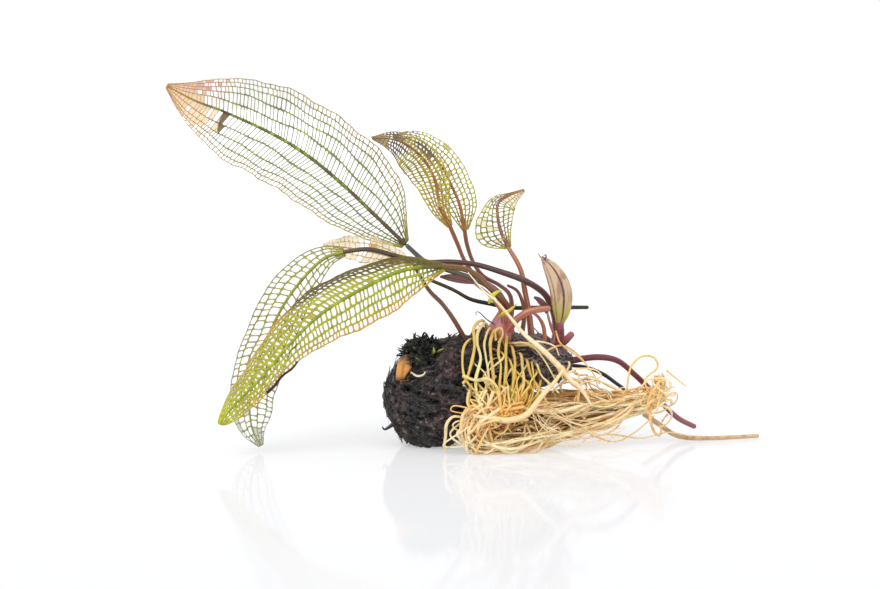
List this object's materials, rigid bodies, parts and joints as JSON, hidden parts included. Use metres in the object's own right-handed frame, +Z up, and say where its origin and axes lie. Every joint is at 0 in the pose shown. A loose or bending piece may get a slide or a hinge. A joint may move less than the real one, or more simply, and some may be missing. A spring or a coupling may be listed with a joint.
{
  "type": "madagascar lace plant",
  "caption": "Bare-root aquarium lace plant lying on its tuber, with open lattice leaves on thin stalks and a tangle of pale roots.",
  "frame": {"origin": "middle of the level flat under the tuber, on which the plant rests", "axes": "+Z up, +X from the tuber along the roots to their tips, -Y towards the side the plant is seen from"},
  "size_m": [0.2429, 0.0678, 0.1456],
  "materials": {
    "tuber_bark": "rough, fibrous, near black",
    "moss": "loose dark fibre",
    "shoot": "satin, pink to purple",
    "green_lace": "satin, translucent, olive green",
    "bright_lace": "satin, translucent, yellow green",
    "grey_lace": "satin, translucent, grey green",
    "golden_lace": "satin, translucent, golden brown",
    "faded_leaf": "matte, translucent, cream",
    "young_leaf": "satin, tan with purple stripes",
    "brown_stalk": "satin",
    "purple_stalk": "satin",
    "magenta_stalk": "satin",
    "pink_stalk": "satin",
    "dark_stalk": "satin",
    "grey_stalk": "satin",
    "tan_root": "satin",
    "golden_root": "satin"
  },
  "bodies": {
    "root": {"tuber": "tuber_bark", "moss_tuft": "moss", "left_shoot": "shoot", "right_shoot": "shoot", "upper_leaf_blade": "green_lace", "front_leaf_blade": "bright_lace", "back_leaf_blade": "grey_lace", "arching_leaf_blade": "golden_lace", "tall_leaf_blade": "golden_lace", "small_leaf_blade": "golden_lace", "faded_leaf_blade": "faded_leaf", "young_leaf_blade": "young_leaf", "narrow_leaf_blade": "purple_stalk", "tiny_leaf_blade": "purple_stalk", "upper_leaf_stalk": "grey_stalk", "front_leaf_stalk": "brown_stalk", "back_leaf_stalk": "purple_stalk", "arching_leaf_stalk": "brown_stalk", "tall_leaf_stalk": "brown_stalk", "small_leaf_stalk": "pink_stalk", "young_leaf_stalk": "magenta_stalk", "faded_leaf_stalk": "brown_stalk", "narrow_leaf_stalk": "pink_stalk", "tiny_leaf_stalk": "pink_stalk", "dark_stalk": "dark_stalk", "magenta_cut_stalk": "magenta_stalk", "black_thin_stalk": "dark_stalk", "pink_cut_stalk": "pink_stalk", "brown_arched_stalk": "brown_stalk", "pink_arched_stalk": "pink_stalk", "magenta_stub": "magenta_stalk", "root_mat": "tan_root", "long_diagonal_root": "tan_root", "sweeping_root": "tan_root", "tuber_front_root": "tan_root", "end_loop_root": "tan_root", "runner_root": "tan_root", "hanging_root_1": "golden_root", "hanging_root_2": "golden_root", "hanging_root_3": "golden_root", "hanging_root_4": "golden_root", "hanging_root_5": "golden_root", "hanging_root_6": "golden_root", "hanging_root_7": "golden_root", "hanging_root_8": "golden_root", "hanging_root_9": "golden_root", "mat_root_1": "tan_root", "mat_root_2": "tan_root", "mat_root_3": "tan_root", "mat_root_4": "tan_root", "mat_root_5": "tan_root"}
  },
  "joints": []
}
